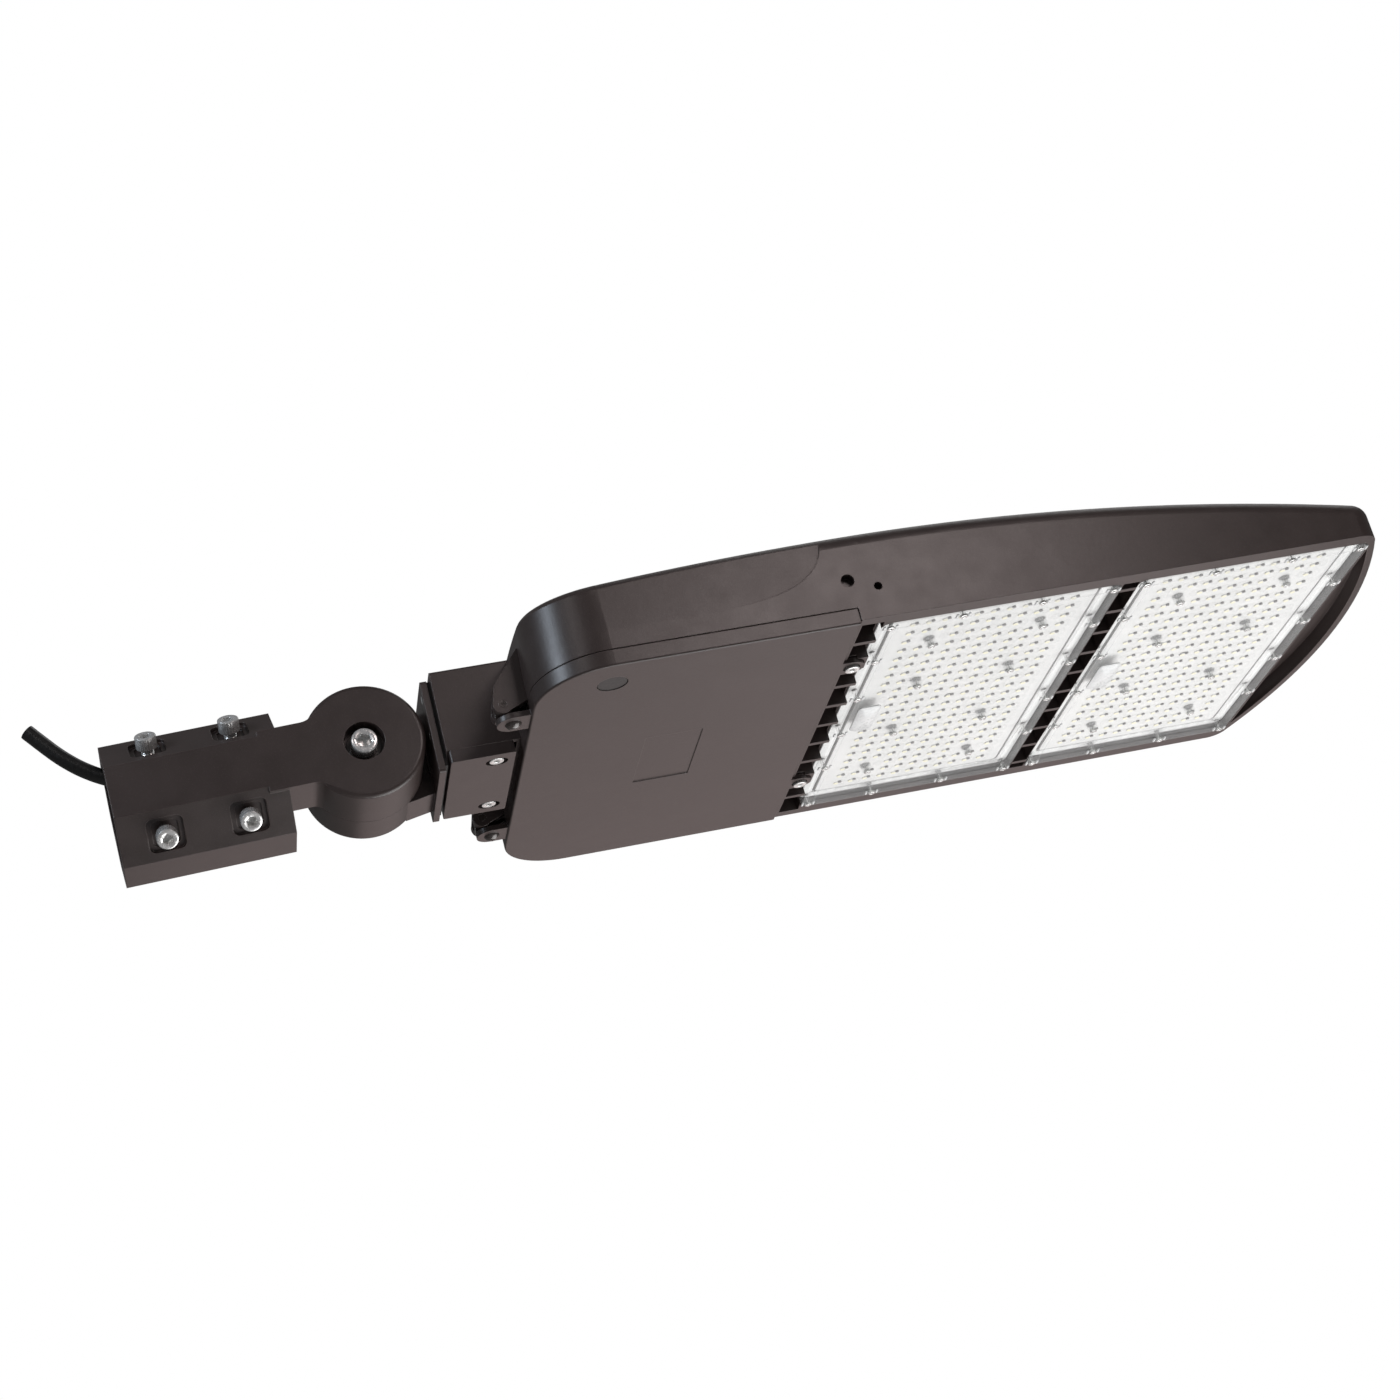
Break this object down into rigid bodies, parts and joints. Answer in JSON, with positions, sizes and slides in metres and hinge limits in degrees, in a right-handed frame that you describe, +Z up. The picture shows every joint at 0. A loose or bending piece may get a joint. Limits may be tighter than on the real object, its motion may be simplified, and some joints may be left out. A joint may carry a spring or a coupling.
{
  "type": "street light",
  "caption": "Flat rectangular LED street light head with two lens panels, a hinged driver bay door and a tilting knuckle that ends in an octagonal slip fitter with a short supply lead.",
  "frame": {"origin": "centre of the slip fitter's mouth, on the bore's axis", "axes": "+X towards the lamp's nose, +Z up; the head is level and the bore dips 2 degrees towards its mouth"},
  "size_m": [0.8442, 0.313, 0.1046],
  "materials": {
    "bronze_casting": "satin",
    "stainless": "polished",
    "dark_steel": "satin",
    "zinc_steel": "satin",
    "black_rubber": "matte",
    "black_cable": "satin",
    "grey_silicone": "matte",
    "white_silicone": "matte",
    "clear_lens": "gloss",
    "white_board": "satin",
    "driver_case": "satin",
    "white_nylon": "matte",
    "black_plastic": "matte",
    "bronze_plastic": "matte"
  },
  "bodies": {
    "slip_fitter": {"slip_fitter": "bronze_casting", "cord_grommet": "black_rubber", "supply_cord": "black_cable", "pivot_bolt": "stainless", "pivot_head_washer": "dark_steel", "pivot_nut_washer": "zinc_steel", "pivot_nut": "zinc_steel"},
    "lamp_head": {"knuckle_arm": "bronze_casting", "arm_gasket": "black_rubber", "arm_screws": "stainless", "housing": "bronze_casting", "neck": "bronze_casting", "hinge_ears": "bronze_casting", "neck_cover": "bronze_casting", "neck_cover_screws": "stainless", "hinge_pins": "dark_steel", "gear_plate": "zinc_steel", "gear_plate_screws": "zinc_steel", "led_driver": "driver_case", "surge_protector": "black_plastic", "terminal_block": "white_nylon", "inner_cable": "black_cable", "driver_leads": "black_cable", "led_board_1": "white_board", "led_board_2": "white_board", "lens_1": "clear_lens", "lens_2": "clear_lens", "lens_gasket_1": "white_silicone", "lens_gasket_2": "white_silicone", "lens_screws_1": "stainless", "lens_screws_2": "stainless"},
    "door": {"door": "bronze_casting", "door_gasket": "grey_silicone", "door_plug": "bronze_plastic", "screw_retainers": "white_nylon", "hinge_blocks": "dark_steel", "hinge_screws": "dark_steel"},
    "door_screw_1": {"door_screw_1": "stainless"},
    "door_screw_2": {"door_screw_2": "stainless"},
    "set_screw_1": {"set_screw_1": "stainless"},
    "set_screw_2": {"set_screw_2": "stainless"},
    "set_screw_3": {"set_screw_3": "stainless"},
    "set_screw_4": {"set_screw_4": "stainless"}
  },
  "joints": [
    {"name": "head_tilt", "type": "hinge", "parent": "slip_fitter", "child": "lamp_head", "pos_m": [0.1539, 0, 0.00556], "axis": [0, 1, 0], "range_deg": [-90, 90]},
    {"name": "door_swing", "type": "hinge", "parent": "lamp_head", "child": "door", "pos_m": [0.231, 0, -0.0115], "axis": [0, 1, 0], "range_deg": [0, 60]},
    {"name": "door_screw_1_out", "type": "slide", "parent": "door", "child": "door_screw_1", "axis": [0, 0, -1], "range_m": [0, 0.008]},
    {"name": "door_screw_2_out", "type": "slide", "parent": "door", "child": "door_screw_2", "axis": [0, 0, -1], "range_m": [0, 0.008]},
    {"name": "set_screw_1_in", "type": "slide", "parent": "slip_fitter", "child": "set_screw_1", "axis": [0.0255, 0.7071, -0.7066], "range_m": [-0.008, 0.002]},
    {"name": "set_screw_2_in", "type": "slide", "parent": "slip_fitter", "child": "set_screw_2", "axis": [0.0255, 0.7071, -0.7066], "range_m": [-0.008, 0.002]},
    {"name": "set_screw_3_in", "type": "slide", "parent": "slip_fitter", "child": "set_screw_3", "axis": [-0.0255, 0.7071, 0.7066], "range_m": [-0.008, 0.002]},
    {"name": "set_screw_4_in", "type": "slide", "parent": "slip_fitter", "child": "set_screw_4", "axis": [-0.0255, 0.7071, 0.7066], "range_m": [-0.008, 0.002]}
  ]
}
